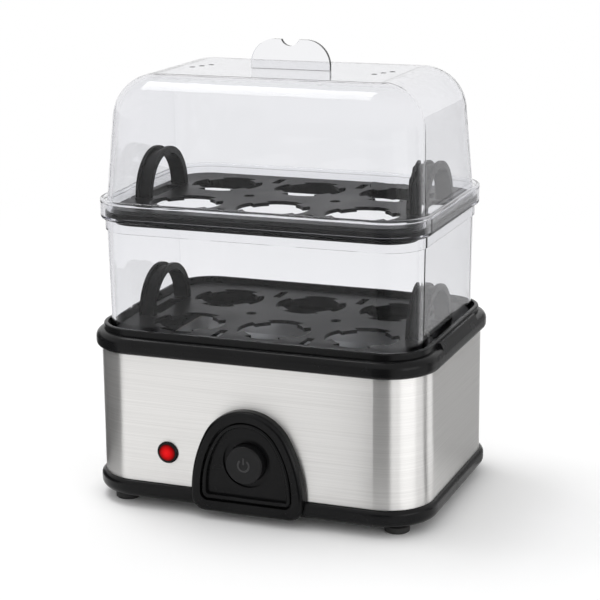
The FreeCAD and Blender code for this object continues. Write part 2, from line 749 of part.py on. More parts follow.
def make_heating_element():
    """Sheathed heating tube bent into a loop under the dish, with a terminal pin at each end."""
    body = new_body("heating_element")
    height = dish_under - s.tube_radius - s.slip
    path = level_sketch(body, "path", height)
    x = s.tube_half_x
    y = s.tube_half_y
    bend = s.tube_bend
    corners = [
        (s.tube_gap, y, x - bend, y, (x - bend, y - bend), (x, y - bend)),
        (x, y - bend, x, bend - y, (x - bend, bend - y), (x - bend, -y)),
        (x - bend, -y, bend - x, -y, (bend - x, bend - y), (-x, bend - y)),
        (-x, bend - y, -x, y - bend, (bend - x, y - bend), (bend - x, y)),
    ]
    first = 0
    for from_x, from_y, to_x, to_y, centre, turn_end in corners:
        sketch_line(path, (from_x, from_y), (to_x, to_y))
        quarter = arc_between(vector(*turn_end), vector(to_x, to_y), vector(*centre), bend.number)
        arc = path.addGeometry(quarter)
        dimension(path, ("Radius", arc), bend)
        place(path, arc, START, *turn_end)
        path.addConstraint(Sketcher.Constraint("Coincident", arc - 1, END, arc, END))
        if first:
            path.addConstraint(Sketcher.Constraint("Coincident", arc - 2, START, arc - 1, START))
        else:
            place(path, arc - 1, START, from_x, from_y)
        place(path, arc - 1, END, to_x, to_y)
        first += 2
    last = sketch_line(path, (bend - x, y), (-s.tube_gap, y))
    path.addConstraint(Sketcher.Constraint("Coincident", last - 1, START, last, START))
    place(path, last, END, -s.tube_gap, y)
    section = sketch_on(body, "section", "YZ_Plane", out=s.tube_gap)
    circle(section, y, height, s.tube_radius)
    tube = add_feature(body, "AdditivePipe", section)
    tube.Spine = path
    for side in SIDES:
        pins = sketch_on(body, f"pin{side + 1}", "YZ_Plane", out=s.tube_gap * side)
        circle(pins, y, height, s.pin_radius)
        pad(pins, s.pin_length, back=side > 0)
    return body


def sketch_line(sketch, begin, finish):
    return sketch.addGeometry(Part.LineSegment(vector(*begin), vector(*finish)))


def make_thermostat():
    """Snap-disc thermostat pressed against the middle of the dish."""
    body = new_body("thermostat")
    section = sketch_on(body, "section", "XZ_Plane", y=dish_under)
    contour(section, [
        (ZERO, ZERO),
        (s.stat_radius, ZERO),
        (s.stat_radius, -s.stat_height),
        (s.stat_base, -s.stat_height),
        (s.stat_base, -s.stat_height - s.stat_base_height),
        (ZERO, -s.stat_height - s.stat_base_height),
    ])
    revolve(section)
    return body


def make_thermostat_bracket():
    """Bent spring strap that carries the thermostat, its feet spot-welded to the dish."""
    body = new_body("thermostat_bracket")
    strap = front_sketch(body, "strap", s.strap_width / 2)
    drop = dish_under - s.stat_height - s.stat_base_height
    knee = s.stat_radius + s.strap
    foot = knee + s.strap + s.strap_foot
    contour(strap, [
        (-foot, dish_under),
        (-knee, dish_under),
        (-knee, drop),
        (knee, drop),
        (knee, dish_under),
        (foot, dish_under),
        (foot, dish_under - s.strap),
        (knee + s.strap, dish_under - s.strap),
        (knee + s.strap, drop - s.strap),
        (-knee - s.strap, drop - s.strap),
        (-knee - s.strap, dish_under - s.strap),
        (-foot, dish_under - s.strap),
    ])
    pad(strap, s.strap_width, back=True)
    return body


def make_thermal_fuse():
    """One-shot thermal fuse lying against the dish."""
    body = new_body("thermal_fuse")
    barrel = front_sketch(body, "barrel", s.fuse_length / 2)
    circle(barrel, s.fuse_x, dish_under - s.fuse_radius - s.slip / 2, s.fuse_radius)
    pad(barrel, s.fuse_length, back=True)
    return body


def make_fuse_clip():
    """Folded strap that holds the thermal fuse against the dish."""
    body = new_body("fuse_clip")
    fold = front_sketch(body, "fold", s.strap_width / 2)
    inner = s.fuse_radius + s.slip
    outer = inner + s.strap
    foot = outer + s.clip_foot
    drop = dish_under - s.fuse_radius * 2 - s.slip
    contour(fold, [
        (s.fuse_x - foot, dish_under),
        (s.fuse_x - inner, dish_under),
        (s.fuse_x - inner, drop),
        (s.fuse_x + inner, drop),
        (s.fuse_x + inner, dish_under),
        (s.fuse_x + foot, dish_under),
        (s.fuse_x + foot, dish_under - s.strap),
        (s.fuse_x + outer, dish_under - s.strap),
        (s.fuse_x + outer, drop - s.strap),
        (s.fuse_x - outer, drop - s.strap),
        (s.fuse_x - outer, dish_under - s.strap),
        (s.fuse_x - foot, dish_under - s.strap),
    ])
    pad(fold, s.strap_width, back=True)
    return body


def arched_panel(sketch, inset, sill, corner):
    """The panel's arched outline: a three-centred arch on short sides over rounded lower corners."""
    half = s.panel_half - inset
    foot = s.panel_foot + sill
    spring = s.panel_foot + s.panel_corner + s.panel_side + sill * 0.35
    crown = s.panel_foot + s.panel_corner + s.panel_side + s.panel_crown - inset
    top = s.panel_top_radius - inset
    rise = crown - spring
    flank = (half * half + rise * rise - rise * top * 2) / ((half - top) * 2)
    middle = crown - top
    meet_x = top * (flank - half) / (flank - top)
    meet_y = middle + top * (rise - top) / (flank - top)
    contour(sketch, [
        (corner - half, foot),
        (half - corner, foot, (half - corner, foot + corner, corner, 1)),
        (half, foot + corner),
        (half, spring, (half - flank, spring, flank, 1)),
        (meet_x, meet_y, (ZERO, middle, top, 1)),
        (-meet_x, meet_y, (flank - half, spring, flank, 1)),
        (-half, spring),
        (-half, foot + corner, (corner - half, foot + corner, corner, 1)),
    ])


def make_control_panel():
    """Black arched panel: rounded frame, beaded sunk field, button recess and guide sleeve."""
    body = new_body("control_panel")
    front = half_depth + s.panel_proud
    frame = front_sketch(body, "frame", half_depth)
    arched_panel(frame, ZERO, ZERO, s.panel_corner)
    block = pad(frame, s.panel_proud)
    doc.recompute()
    fillet(block, front_edges(block, front), s.panel_round)
    field = front_sketch(body, "field", front)
    arched_panel(field, s.panel_frame, s.panel_sill, s.inner_corner)
    pocket(field, s.panel_sink)
    bead = front_sketch(body, "bead", field_front)
    for inward in (s.bead_gap, s.bead_gap + s.bead_width):
        arched_panel(bead, s.panel_frame + inward, s.panel_sill + inward, s.inner_corner - inward)
    ring = pad(bead, s.bead_height)
    doc.recompute()
    fillet(ring, front_edges(ring, field_front + s.bead_height), s.bead_width * 0.4)
    sleeve = front_sketch(body, "sleeve", half_depth)
    circle(sleeve, ZERO, s.button_height, sleeve_radius)
    pad(sleeve, s.sleeve_reach, back=True)
    halo = front_sketch(body, "halo", field_front)
    circle(halo, ZERO, s.button_height, s.halo_radius)
    pocket(halo, s.halo_sink)
    bore = front_sketch(body, "bore", field_front)
    circle(bore, ZERO, s.button_height, sleeve_bore)
    pocket(bore, field_front - switch_front)
    pilots = front_sketch(body, "pilots", half_depth)
    for x in SIDES:
        circle(pilots, s.panel_screw_x * x, s.panel_screw_height, pilot_radius)
    pocket(pilots, s.panel_screw_length - s.sheet + s.slip, outward=True)
    return body


def make_panel_screws():
    """Screws from inside the base, through the steel, into the back of the panel."""
    body = new_body("panel_screws")
    seat = s.sheet - half_depth
    section = sketch_on(body, "section", "XY_Plane", x=s.panel_screw_x, y=seat, out=s.panel_screw_height)
    screw_section(section, True, s.panel_screw_length)
    mirror(body, revolve(section), "YZ_Plane")
    return body


def make_power_button():
    """Round push button: a cap with a rounded edge, and a stem to the switch plunger."""
    body = new_body("power_button")
    section = sketch_on(body, "section", "XY_Plane", y=-button_front, out=s.button_height)
    edge = s.button_edge
    contour(section, [
        (ZERO, ZERO),
        (s.button_radius - edge, ZERO, (s.button_radius - edge, edge, edge, 1)),
        (s.button_radius, edge),
        (s.button_radius, s.button_cap),
        (s.stem_radius, s.button_cap),
        (s.stem_radius, button_front - stem_back),
        (ZERO, button_front - stem_back),
    ])
    revolve(section)
    return body


def make_switch_plunger():
    """Sprung plunger of the switch, carried in by the button's stem."""
    body = new_body("switch_plunger")
    rod = front_sketch(body, "rod", stem_back)
    circle(rod, ZERO, s.button_height, s.plunger_radius)
    pad(rod, s.plunger_out + s.plunger_in, back=True)
    return body


def make_switch_body():
    """Push switch seated on the back of the panel's sleeve, with two contact lugs."""
    body = new_body("switch_body")
    case = front_sketch(body, "case", switch_front)
    low = s.button_height - s.switch_tall
    high = s.button_height + s.switch_tall
    rectangle(case, -s.switch_half, s.switch_half, low, high)
    pad(case, s.switch_deep, back=True)
    bore = front_sketch(body, "bore", switch_front)
    circle(bore, ZERO, s.button_height, s.plunger_radius + s.slip)
    pocket(bore, s.plunger_in + s.button_travel + 1)
    lugs = front_sketch(body, "lugs", switch_front - s.switch_deep)
    for x in SIDES:
        centre = s.switch_half * 0.5 * x
        half = s.switch_lug / 2
        rectangle(lugs, centre - half, centre + half, s.button_height - half, s.button_height + half)
    pad(lugs, s.switch_lug * 2, back=True)
    return body


def make_indicator_bezel():
    """Black snap-in bezel: a flange on the steel and a sleeve through it."""
    body = new_body("indicator_bezel")
    face = -half_depth
    section = sketch_on(body, "section", "XY_Plane", x=-s.lamp_x, y=face, out=s.lamp_height)
    bore = s.lens_radius + s.slip / 2
    bevel = s.bezel_flange / 2
    contour(section, [
        (bore, -s.bezel_flange),
        (s.bezel_radius - bevel, -s.bezel_flange),
        (s.bezel_radius, -bevel),
        (s.bezel_radius, ZERO),
        (s.bezel_neck, ZERO),
        (s.bezel_neck, s.bezel_reach),
        (bore, s.bezel_reach),
    ])
    revolve(section)
    return body


def make_indicator_lens():
    """Red domed lens pushed into the bezel."""
    body = new_body("indicator_lens")
    tip = -half_depth - s.bezel_flange - s.lens_dome
    section = sketch_on(body, "section", "XY_Plane", x=-s.lamp_x, y=tip, out=s.lamp_height)
    ball = (s.lens_radius * s.lens_radius + s.lens_dome * s.lens_dome) / (s.lens_dome * 2)
    length = s.lens_dome + s.lens_length
    contour(section, [
        (ZERO, ZERO, (ZERO, ball, ball, 1)),
        (s.lens_radius, s.lens_dome),
        (s.lens_radius, length),
        (ZERO, length),
    ])
    revolve(section)
    return body


def make_indicator_lamp():
    """Neon lamp standing against the back of the lens."""
    body = new_body("indicator_lamp")
    back = s.lens_length - half_depth - s.bezel_flange
    section = sketch_on(body, "section", "XY_Plane", x=-s.lamp_x, y=back, out=s.lamp_height)
    contour(section, [
        (ZERO, ZERO, (ZERO, s.bulb_radius, s.bulb_radius, 1)),
        (s.bulb_radius, s.bulb_radius),
        (s.bulb_radius, s.bulb_length),
        (ZERO, s.bulb_length),
    ])
    revolve(section)
    return body


def make_terminal_block():
    """Terminal block on the shell's floor, where the supply meets the inner wiring."""
    body = new_body("terminal_block")
    block = sketch_on(body, "block", "XY_Plane", x=s.block_x, y=s.block_y, out=shell_floor_top)
    rectangle(block, s.block_width / -2, s.block_width / 2, s.block_depth / -2, s.block_depth / 2)
    pad(block, s.block_height)
    top = shell_floor_top + s.block_height
    wells = sketch_on(body, "wells", "XY_Plane", x=s.block_x, y=s.block_y, out=top)
    for way in (-1, 0, 1):
        for y in SIDES:
            circle(wells, s.way_pitch * way, s.block_depth / 4 * y, s.way_radius)
    pocket(wells, s.way_sink)
    return body


def make_cord_gland():
    """Grooved bush that snaps into the steel at the back, bored for the supply cord."""
    body = new_body("cord_gland")
    section = sketch_on(body, "section", "XY_Plane", y=half_depth, out=s.gland_height)
    nose = button_front - half_depth
    contour(section, [
        (s.gland_bore, -s.sheet - s.gland_flange_height),
        (s.gland_flange, -s.sheet - s.gland_flange_height),
        (s.gland_flange, -s.sheet),
        (s.gland_neck, -s.sheet),
        (s.gland_neck, ZERO),
        (s.gland_flange, ZERO),
        (s.gland_flange, s.gland_flange_height),
        (s.gland_neck, s.gland_flange_height),
        (s.gland_tip, nose),
        (s.gland_bore, nose),
    ])
    revolve(section)
    return body


def seat_centres():
    return [(seat_pitch_x * column, s.seat_y * row) for column in (-1, 0, 1) for row in SIDES]


def arch_outline(sketch, base, outer):
    """An upright arch on the tray's floor, with straight legs under a half circle."""
    inner = s.arch_inner
    spring = base + s.tray_floor
    contour(sketch, [
        (inner, base),
        (outer, base),
        (outer, spring, (ZERO, spring, outer, 1)),
        (ZERO, spring + outer, (ZERO, spring, outer, 1)),
        (-outer, spring),
        (-outer, base),
        (-inner, base),
        (-inner, spring, (ZERO, spring, inner, -1)),
        (ZERO, spring + inner, (ZERO, spring, inner, -1)),
        (inner, spring),
    ])


def make_tray(label, ledge):
    """Black egg tray: rim flange, raised floor, skirt, tabbed egg seats and two channel-section arches."""
    body = new_body(label)
    flange_top = ledge + s.flange
    floor_top = flange_top + s.floor_rise
    floor_under = floor_top - s.tray_floor
    edge = level_sketch(body, "flange", ledge)
    plan(edge, tray_inset)
    pad(edge, s.flange)
    plateau = level_sketch(body, "plateau", ledge)
    plan(plateau, plateau_inset)
    pad(plateau, floor_top - ledge)
    skirt = level_sketch(body, "skirt", ledge - s.tray_skirt)
    plan(skirt, tray_skirt_inset)
    pad(skirt, s.tray_skirt)
    hollow = level_sketch(body, "hollow", ledge - s.tray_skirt)
    plan(hollow, tray_skirt_inset + s.tray_wall)
    pocket(hollow, floor_under - ledge + s.tray_skirt, outward=True)
    seats = level_sketch(body, "seats", floor_top)
    for x, y in seat_centres():
        circle(seats, x, y, s.seat_radius)
    pocket(seats, s.tray_floor)
    reach = s.seat_radius * 2 + s.tab_width / 2
    for way in SIDES:
        bars = level_sketch(body, f"bars{way + 1}", floor_under)
        for x, y in seat_centres():
            turned_bar(bars, x, y, reach, s.tab_width, way)
        pad(bars, s.tray_floor)
    cores = level_sketch(body, "cores", floor_top)
    for x, y in seat_centres():
        circle(cores, x, y, s.seat_core)
    pocket(cores, s.tray_floor)
    slots = level_sketch(body, "slots", floor_top)
    for x, y in CORNERS:
        centre_x = seat_pitch_x / 2 * x
        centre_y = s.slot_y * y
        wide = s.slot_width / 2
        tall = s.slot_length / 2
        rectangle(slots, centre_x - wide, centre_x + wide, centre_y - tall, centre_y + tall)
    for x in SIDES:
        circle(slots, seat_pitch_x / 2 * x, ZERO, s.steam_radius)
        middle = (arch_x + s.arch_width / 2) * x
        wide = s.arch_width / 2 - s.slip
        rectangle(slots, middle - wide, middle + wide, -s.grip_hole, s.grip_hole)
    pocket(slots, s.tray_floor)
    web = sketch_on(body, "web", "YZ_Plane", out=arch_x)
    arch_outline(web, floor_under, s.arch_inner + s.arch_web)
    mirror(body, pad(web, s.arch_width), "YZ_Plane")
    for name, out in (("rib_in", arch_x), ("rib_out", arch_x + s.arch_width - s.rib_width)):
        rib = sketch_on(body, name, "YZ_Plane", out=out)
        arch_outline(rib, floor_under, s.arch_inner + s.arch_rib)
        mirror(body, pad(rib, s.rib_width), "YZ_Plane")
    return body


def make_middle_tier():
    """Clear middle tier: drafted wall, neck band, shelf and a collar that nests the upper tray."""
    body = new_body("middle_tier")
    foot = lower_ledge + s.flange
    shelf_foot = upper_ledge - s.shelf
    outer = [level_sketch(body, "outer_foot", foot), level_sketch(body, "outer_head", shelf_foot)]
    plan(outer[0], s.tier_inset)
    plan(outer[1], s.tier_head)
    loft("AdditiveLoft", outer, True)
    neck = level_sketch(body, "neck", shelf_foot - s.neck_height)
    plan(neck, s.neck_inset)
    pad(neck, s.neck_height)
    collar = level_sketch(body, "collar", shelf_foot)
    plan(collar, s.collar_inset)
    ring = pad(collar, s.shelf + s.collar_rise)
    doc.recompute()
    outermost = [
        name for name in level_edges(ring, shelf_foot)
        if reaches(ring.Shape.getElement(name), s.collar_inset)
    ]
    fillet(ring, outermost, s.collar_round)
    nest = level_sketch(body, "nest", upper_ledge + s.collar_rise)
    plan(nest, s.nest_inset)
    pocket(nest, s.collar_rise)
    inner = [level_sketch(body, "inner_foot", foot), level_sketch(body, "inner_head", upper_ledge)]
    plan(inner[0], s.tier_inset + s.clear_wall)
    plan(inner[1], s.tier_head + s.clear_wall)
    loft("SubtractiveLoft", inner, True)
    return body


def reaches(edge, inset):
    """Whether an edge belongs to the plan outline at an inset, not to one further in."""
    point = edge.valueAt((edge.FirstParameter + edge.LastParameter) / 2)
    across = half_width.number - s.corner_radius.number
    along = half_depth.number - s.corner_radius.number
    beyond = math.hypot(max(abs(point.x) - across, 0), max(abs(point.y) - along, 0))
    return abs(beyond - s.corner_radius.number + inset.number) < 0.01


def lid_block(body, wall):
    """The lid's drafted block, drawn in by a wall, with its upper edge rounded over."""
    foot = level_sketch(body, "foot", lid_foot)
    plan(foot, s.lid_inset + wall)
    roof = level_sketch(body, "roof", lid_top - wall)
    inset = s.lid_inset + s.lid_draft + wall
    rounded_rectangle(roof, half_width - inset, half_depth - inset, s.lid_corner - wall)
    block = loft("AdditiveLoft", [roof, foot], True)
    doc.recompute()
    fillet(block, level_edges(block, lid_top - wall), s.lid_round - wall)


def make_lid():
    """Clear domed lid with two groups of steam vents."""
    core = new_body("lid_core")
    lid_block(core, s.clear_wall)
    body = new_body("lid")
    lid_block(body, ZERO)
    vents = level_sketch(body, "vents", lid_top)
    for side in SIDES:
        for step in (-1, 0, 1):
            circle(vents, s.vent_x * side + s.vent_pitch * step * 0.5, s.vent_pitch * step, s.vent_radius)
    pocket(vents, s.clear_wall * 2)
    hollow = body.newObject("PartDesign::Boolean", "lid_hollow")
    hollow.Type = "Cut"
    hollow.setObjects([core])
    body.Tip = hollow
    return body


def make_lid_handle():
    """Clear fin with a thumb notch, welded across the lid's roof."""
    body = new_body("lid_handle")
    fin = sketch_on(body, "fin", "XZ_Plane", y=lid_top, out=s.fin_thick / -2)
    shoulder = s.fin_height - s.fin_round
    crest = s.fin_half - s.fin_round
    scoop = (s.notch_half * s.notch_half + s.notch_depth * s.notch_depth) / (s.notch_depth * 2)
    scoop_centre = s.fin_height - s.notch_depth + scoop
    contour(fin, [
        (-s.fin_half, ZERO),
        (s.fin_half, ZERO),
        (s.fin_half, shoulder, (crest, shoulder, s.fin_round, 1)),
        (crest, s.fin_height),
        (s.notch_half, s.fin_height, (ZERO, scoop_centre, scoop, -1)),
        (-s.notch_half, s.fin_height),
        (-crest, s.fin_height, (-crest, shoulder, s.fin_round, 1)),
        (-s.fin_half, shoulder),
    ])
    pad(fin, s.fin_thick)
    return body


pieces = [
    make_feet(),
    make_base_screws(),
    make_bottom_shell(),
    make_body_band(),
    make_top_rim(),
    make_heating_plate(),
    make_plate_seal(),
    make_plate_screws(),
    make_heating_element(),
    make_thermostat(),
    make_thermostat_bracket(),
    make_thermal_fuse(),
    make_fuse_clip(),
    make_control_panel(),
    make_panel_screws(),
    make_power_button(),
    make_switch_plunger(),
    make_switch_body(),
    make_indicator_bezel(),
    make_indicator_lens(),
    make_indicator_lamp(),
    make_terminal_block(),
    make_cord_gland(),
    make_tray("lower_tray", lower_ledge),
    make_middle_tier(),
    make_tray("upper_tray", upper_ledge),
    make_lid(),
    make_lid_handle(),
]
doc.recompute()

for item in doc.Objects:
    for fault in ("Invalid", "Error"):
        if fault in item.State:
            raise RuntimeError(f"{item.Label} is {fault}")

os.makedirs("parts", exist_ok=True)
for piece in pieces:
    shape = piece.Shape
    if shape.isNull() or not shape.isValid() or not shape.Solids:
        raise RuntimeError(f"{piece.Label} has no valid solid")
    box = shape.BoundBox
    print(f"{piece.Label}: {len(shape.Solids)} solid(s), {shape.Volume / 1000:.2f} cm3, "
          f"z {box.ZMin:.2f} to {box.ZMax:.2f}")
    shape.exportStep(f"parts/{piece.Label}.step")
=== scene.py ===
import math

import bmesh
import bpy
from mathutils import Matrix, Quaternion, Vector


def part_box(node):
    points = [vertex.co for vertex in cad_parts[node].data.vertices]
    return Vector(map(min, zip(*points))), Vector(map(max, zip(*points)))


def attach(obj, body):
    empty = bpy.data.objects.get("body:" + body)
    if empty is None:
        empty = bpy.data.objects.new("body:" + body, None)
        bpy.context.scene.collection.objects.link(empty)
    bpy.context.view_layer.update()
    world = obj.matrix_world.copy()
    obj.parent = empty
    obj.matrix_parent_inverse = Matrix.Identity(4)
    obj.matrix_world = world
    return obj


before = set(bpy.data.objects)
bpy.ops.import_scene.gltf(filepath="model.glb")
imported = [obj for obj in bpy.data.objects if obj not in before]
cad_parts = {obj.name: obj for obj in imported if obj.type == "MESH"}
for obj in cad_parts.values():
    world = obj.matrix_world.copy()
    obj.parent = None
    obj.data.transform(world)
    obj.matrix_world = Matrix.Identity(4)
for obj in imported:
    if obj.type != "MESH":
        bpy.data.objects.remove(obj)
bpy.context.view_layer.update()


# Feet and cord gland: black rubber, moulded and snapped or screwed into place.
# The rubber is dull, a little dusty, and finely pitted like the tool that moulded it.
def add_node(tree, kind, values=None, **settings):
    """A shader node with its settings, and plain values on its sockets."""
    made = tree.nodes.new(kind)
    for name, value in settings.items():
        setattr(made, name, value)
    for name, value in (values or {}).items():
        made.inputs[name].default_value = value
    return made


def grain_group():
    """Surface of a moulding: fine pits as a height, and broad soft patches as a mask."""
    group = bpy.data.node_groups.new("moulded_grain", "ShaderNodeTree")
    for name in ("Grain Scale", "Patch Scale"):
        group.interface.new_socket(name=name, in_out="INPUT", socket_type="NodeSocketFloat")
    for name in ("Height", "Patches"):
        group.interface.new_socket(name=name, in_out="OUTPUT", socket_type="NodeSocketFloat")
    given = group.nodes.new("NodeGroupInput")
    out = group.nodes.new("NodeGroupOutput")
    place = add_node(group, "ShaderNodeTexCoord")
    pits = add_node(group, "ShaderNodeTexNoise", {"Detail": 3.0, "Roughness": 0.6})
    patches = add_node(group, "ShaderNodeTexNoise", {"Detail": 4.0, "Roughness": 0.55})
    spread = add_node(group, "ShaderNodeMapRange", {"From Min": 0.32, "From Max": 0.68})
    for noise, scale in ((pits, "Grain Scale"), (patches, "Patch Scale")):
        group.links.new(place.outputs["Object"], noise.inputs["Vector"])
        group.links.new(given.outputs[scale], noise.inputs["Scale"])
    group.links.new(patches.outputs["Fac"], spread.inputs["Value"])
    group.links.new(pits.outputs["Fac"], out.inputs["Height"])
    group.links.new(spread.outputs["Result"], out.inputs["Patches"])
    return group


moulded_grain = grain_group()


def moulding(name, dark, pale, rough, grain, patch, pit_depth, **plain):
    """Material of a moulded or cast piece: two close tones, two roughnesses and a pitted surface."""
    material = bpy.data.materials.new(name)
    material.use_nodes = True
    tree = material.node_tree
    shader = tree.nodes["Principled BSDF"]
    for socket, value in plain.items():
        shader.inputs[socket.replace("_", " ")].default_value = value
    surface = add_node(tree, "ShaderNodeGroup", node_tree=moulded_grain)
    surface.inputs["Grain Scale"].default_value = grain
    surface.inputs["Patch Scale"].default_value = patch
    tone = add_node(tree, "ShaderNodeMix", data_type="RGBA")
    tone.inputs["A"].default_value = (*dark, 1)
    tone.inputs["B"].default_value = (*pale, 1)
    finish = add_node(tree, "ShaderNodeMapRange", {"To Min": rough[0], "To Max": rough[1]})
    bump = add_node(tree, "ShaderNodeBump", {"Strength": 1.0, "Distance": pit_depth})
    tree.links.new(surface.outputs["Patches"], tone.inputs["Factor"])
    tree.links.new(surface.outputs["Patches"], finish.inputs["Value"])
    tree.links.new(surface.outputs["Height"], bump.inputs["Height"])
    tree.links.new(tone.outputs["Result"], shader.inputs["Base Color"])
    tree.links.new(finish.outputs["Result"], shader.inputs["Roughness"])
    tree.links.new(bump.outputs["Normal"], shader.inputs["Normal"])
    return material


def dress(material, *names):
    """Give CAD nodes their finish."""
    for name in names:
        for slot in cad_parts[name].material_slots:
            slot.material = material


rubber = moulding(
    "black_rubber", dark=(0.010, 0.010, 0.010), pale=(0.026, 0.025, 0.024), rough=(0.6, 0.8),
    grain=2600, patch=90, pit_depth=0.00008,
)
dress(rubber, "feet", "cord_gland")

# Screws: zinc-plated self-tapping screws that close the base, hold the plate and hold the panel.
# Plating leaves them bright but slightly clouded.
zinc = moulding(
    "zinc_plating", dark=(0.50, 0.51, 0.53), pale=(0.68, 0.68, 0.67), rough=(0.24, 0.42),
    grain=3000, patch=400, pit_depth=0.00001, Metallic=1.0,
)
dress(zinc, "base_screws", "plate_screws", "panel_screws")

# Bottom shell and top rim: satin black mouldings that clamp the steel between them.
# The tool was spark-eroded, so the surface is finely and evenly grained.
satin_black = moulding(
    "satin_black", dark=(0.003, 0.003, 0.0032), pale=(0.006, 0.006, 0.0064), rough=(0.20, 0.28),
    grain=2200, patch=35, pit_depth=0.000015, Specular_IOR_Level=0.16,
)
dress(satin_black, "bottom_shell", "top_rim")

# Body band: stainless sheet brushed lengthwise, then wrapped round the base and seamed at the back.
# The brushing runs level all the way round, so reflections draw out upright.
UPRIGHT_DRAW = 0.25


def brushing_group():
    """Level brush marks: hair-fine streaks, and wider ones that drift in tone."""
    group = bpy.data.node_groups.new("level_brushing", "ShaderNodeTree")
    for name in ("Along", "Across"):
        group.interface.new_socket(name=name, in_out="INPUT", socket_type="NodeSocketFloat")
    for name in ("Hairlines", "Bands"):
        group.interface.new_socket(name=name, in_out="OUTPUT", socket_type="NodeSocketFloat")
    given = group.nodes.new("NodeGroupInput")
    out = group.nodes.new("NodeGroupOutput")
    place = add_node(group, "ShaderNodeTexCoord")
    stretch = add_node(group, "ShaderNodeCombineXYZ")
    drawn = add_node(group, "ShaderNodeVectorMath", operation="MULTIPLY")
    for axis, name in (("X", "Along"), ("Y", "Along"), ("Z", "Across")):
        group.links.new(given.outputs[name], stretch.inputs[axis])
    group.links.new(place.outputs["Object"], drawn.inputs[0])
    group.links.new(stretch.outputs["Vector"], drawn.inputs[1])
    for name, scale, detail in (("Hairlines", 1.0, 5.0), ("Bands", 0.12, 3.0)):
        noise = add_node(group, "ShaderNodeTexNoise", {"Scale": scale, "Detail": detail, "Roughness": 0.7})
        group.links.new(drawn.outputs["Vector"], noise.inputs["Vector"])
        group.links.new(noise.outputs["Fac"], out.inputs[name])
    return group


level_brushing = brushing_group()


def brushed_sheet(name, dull, bright, rough, along, across, depth, draw):
    """Material of brushed metal: streaked tone and roughness, with highlights drawn across the brushing."""
    material = bpy.data.materials.new(name)
    material.use_nodes = True
    tree = material.node_tree
    shader = tree.nodes["Principled BSDF"]
    shader.inputs["Metallic"].default_value = 1.0
    shader.inputs["Anisotropic"].default_value = draw
    shader.inputs["Anisotropic Rotation"].default_value = UPRIGHT_DRAW
    surface = add_node(tree, "ShaderNodeGroup", node_tree=level_brushing)
    surface.inputs["Along"].default_value = along
    surface.inputs["Across"].default_value = across
    tone = add_node(tree, "ShaderNodeMix", data_type="RGBA")
    tone.inputs["A"].default_value = (*dull, 1)
    tone.inputs["B"].default_value = (*bright, 1)
    finish = add_node(tree, "ShaderNodeMapRange", {"To Min": rough[0], "To Max": rough[1]})
    bump = add_node(tree, "ShaderNodeBump", {"Strength": 1.0, "Distance": depth})
    way = add_node(tree, "ShaderNodeTangent", direction_type="RADIAL", axis="Z")
    tree.links.new(surface.outputs["Hairlines"], tone.inputs["Factor"])
    tree.links.new(surface.outputs["Bands"], finish.inputs["Value"])
    tree.links.new(surface.outputs["Hairlines"], bump.inputs["Height"])
    tree.links.new(tone.outputs["Result"], shader.inputs["Base Color"])
    tree.links.new(finish.outputs["Result"], shader.inputs["Roughness"])
    tree.links.new(bump.outputs["Normal"], shader.inputs["Normal"])
    tree.links.new(way.outputs["Tangent"], shader.inputs["Tangent"])
    return material


steel = brushed_sheet(
    "brushed_steel", dull=(0.66, 0.65, 0.635), bright=(0.99, 0.98, 0.965), rough=(0.32, 0.40),
    along=9, across=2300, depth=0.00003, draw=1.0,
)
dress(steel, "body_band")

# Heating plate and seal: a pressed aluminium water dish on a ring of pale silicone.
# The pressing is satin, clouded where water has stood.
aluminium = moulding(
    "pressed_aluminium", dark=(0.60, 0.61, 0.62), pale=(0.74, 0.74, 0.74), rough=(0.30, 0.48),
    grain=1500, patch=45, pit_depth=0.00002, Metallic=1.0,
)
dress(aluminium, "heating_plate", "thermal_fuse")
silicone = moulding(
    "silicone_ring", dark=(0.60, 0.58, 0.54), pale=(0.70, 0.68, 0.64), rough=(0.5, 0.65),
    grain=1800, patch=70, pit_depth=0.00003,
)
dress(silicone, "plate_seal")

# Heating tube: drawn metal sheath, dulled and tinted by heat.
# It is clamped under the dish and seen only when the base is open.
sheath = moulding(
    "heated_sheath", dark=(0.20, 0.17, 0.15), pale=(0.42, 0.41, 0.42), rough=(0.42, 0.6),
    grain=1400, patch=60, pit_depth=0.00003, Metallic=1.0,
)
dress(sheath, "heating_element")

# Thermostat and switch: dark phenolic mouldings, matt with a faint brown fleck.
# Both are bought-in parts, pressed from powder and left as moulded.
phenolic = moulding(
    "phenolic", dark=(0.020, 0.016, 0.013), pale=(0.045, 0.036, 0.028), rough=(0.45, 0.6),
    grain=2600, patch=500, pit_depth=0.00004,
)
dress(phenolic, "thermostat", "switch_body")

# Straps: strips of spring steel, folded to hold the thermostat and the fuse against the dish.
# They keep the mill finish of the strip.
strap = brushed_sheet(
    "spring_strap", dull=(0.42, 0.41, 0.40), bright=(0.60, 0.59, 0.57), rough=(0.28, 0.40),
    along=60, across=3600, depth=0.00001, draw=0.5,
)
dress(strap, "thermostat_bracket", "fuse_clip")

# Control panel and bezel: black mouldings, finished much like the rim and a little smoother.
# The panel is screwed on from behind, and the bezel snaps into the steel.
panel_black = moulding(
    "panel_black", dark=(0.003, 0.003, 0.0032), pale=(0.006, 0.006, 0.0064), rough=(0.18, 0.26),
    grain=2600, patch=45, pit_depth=0.000015, Specular_IOR_Level=0.14,
)
dress(panel_black, "control_panel", "indicator_bezel")

# Power button: a round cap with a fine matt grain, slightly lighter than the panel about it.
# A raised ring and bar, the usual sign for power, stand on its face.
button_black = moulding(
    "button_black", dark=(0.006, 0.006, 0.0064), pale=(0.010, 0.010, 0.0105), rough=(0.28, 0.38),
    grain=3000, patch=80, pit_depth=0.00004, Specular_IOR_Level=0.20,
)
dress(button_black, "power_button")

